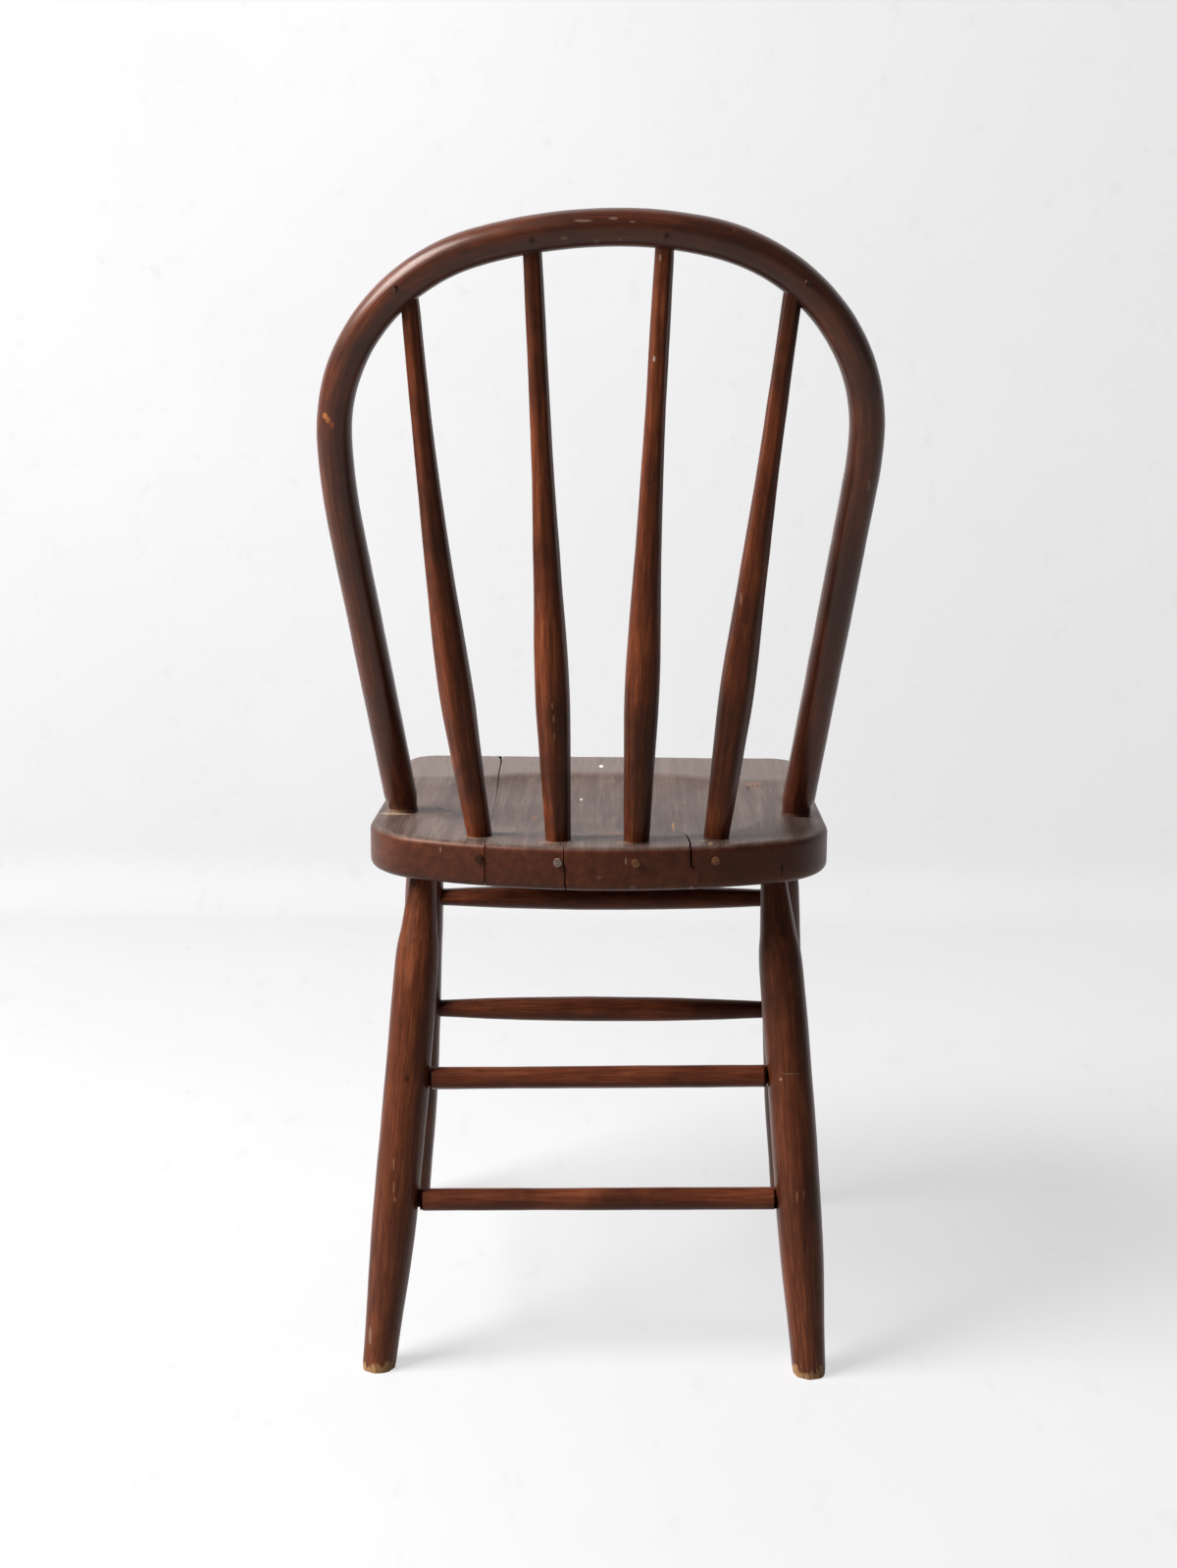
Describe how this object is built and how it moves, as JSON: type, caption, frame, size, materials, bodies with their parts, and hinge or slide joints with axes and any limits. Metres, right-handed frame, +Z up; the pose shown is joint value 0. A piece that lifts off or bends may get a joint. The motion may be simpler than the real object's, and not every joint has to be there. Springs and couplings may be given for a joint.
{
  "type": "bow-back dining chair",
  "caption": "Wooden bow-back side chair: saddled plank seat, splayed turned legs with box stretchers, and a bent bow that holds turned spindles.",
  "frame": {"origin": "on the floor, under the middle of the chair's bounding box", "axes": "+Z up, -Y towards the seat's front, +Y towards the back, +X towards the sitter's left"},
  "size_m": [0.4256, 0.4314, 0.9084],
  "materials": {
    "seat_wood": "dark stained and varnished board, dulled and dusty on top",
    "turned_wood": "dark red-brown stained and varnished turning",
    "bow_wood": "dark stained and varnished bent rod",
    "peg_wood": "dark end grain of pegs, pins and wedges"
  },
  "bodies": {
    "root": {"back_bow": "bow_wood", "bow_pin_inner_left": "peg_wood", "bow_pin_inner_right": "peg_wood", "bow_pin_outer_left": "peg_wood", "bow_pin_outer_right": "peg_wood", "bow_wedge_left": "peg_wood", "bow_wedge_right": "peg_wood", "leg_front_left": "turned_wood", "leg_front_right": "turned_wood", "leg_rear_left": "turned_wood", "leg_rear_right": "turned_wood", "seat_board_narrow": "seat_wood", "seat_board_wide": "seat_wood", "seat_peg_inner_left": "peg_wood", "seat_peg_inner_right": "peg_wood", "seat_peg_outer_left": "peg_wood", "seat_peg_outer_right": "peg_wood", "spindle_inner_left": "turned_wood", "spindle_inner_right": "turned_wood", "spindle_outer_left": "turned_wood", "spindle_outer_right": "turned_wood", "stretcher_front_lower": "turned_wood", "stretcher_front_upper": "turned_wood", "stretcher_left_lower": "turned_wood", "stretcher_left_upper": "turned_wood", "stretcher_rear_lower": "turned_wood", "stretcher_rear_upper": "turned_wood", "stretcher_right_lower": "turned_wood", "stretcher_right_upper": "turned_wood"}
  },
  "joints": []
}
